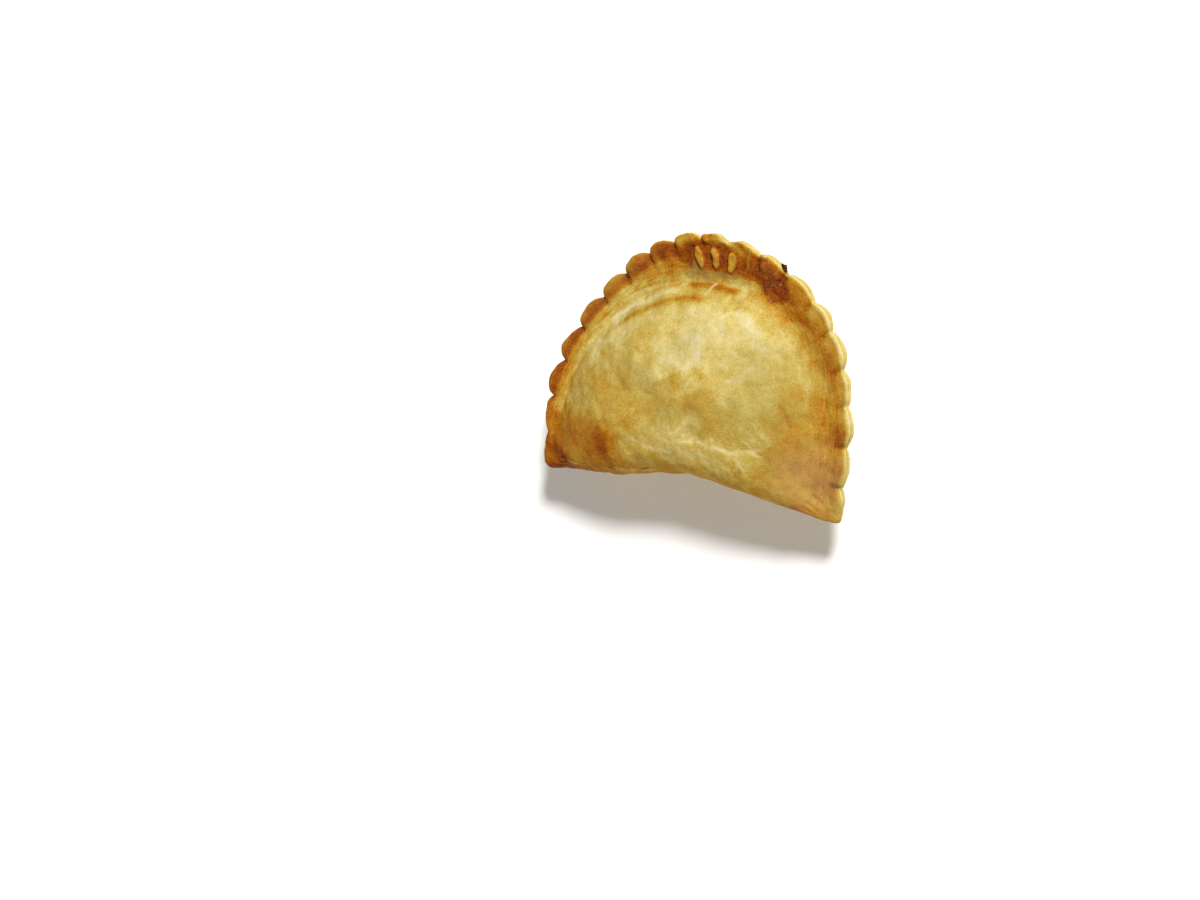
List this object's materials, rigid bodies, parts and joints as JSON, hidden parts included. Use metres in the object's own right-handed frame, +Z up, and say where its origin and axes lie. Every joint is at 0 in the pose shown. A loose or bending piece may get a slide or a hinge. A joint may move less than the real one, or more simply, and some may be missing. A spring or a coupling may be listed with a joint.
{
  "type": "empanada",
  "caption": "Baked half-moon pastry folded over its filling, with a puffed lumpy crown, a scalloped crimped rim with a pressed band, and a flat underside.",
  "frame": {"origin": "on the resting surface, under the middle of the part's box", "axes": "+X along the fold, +Y from the fold to the top of the arched rim, +Z up through the crown"},
  "size_m": [0.1182, 0.0886, 0.0352],
  "materials": {
    "crust": "satin"
  },
  "bodies": {
    "root": {"pastry": "crust"}
  },
  "joints": []
}
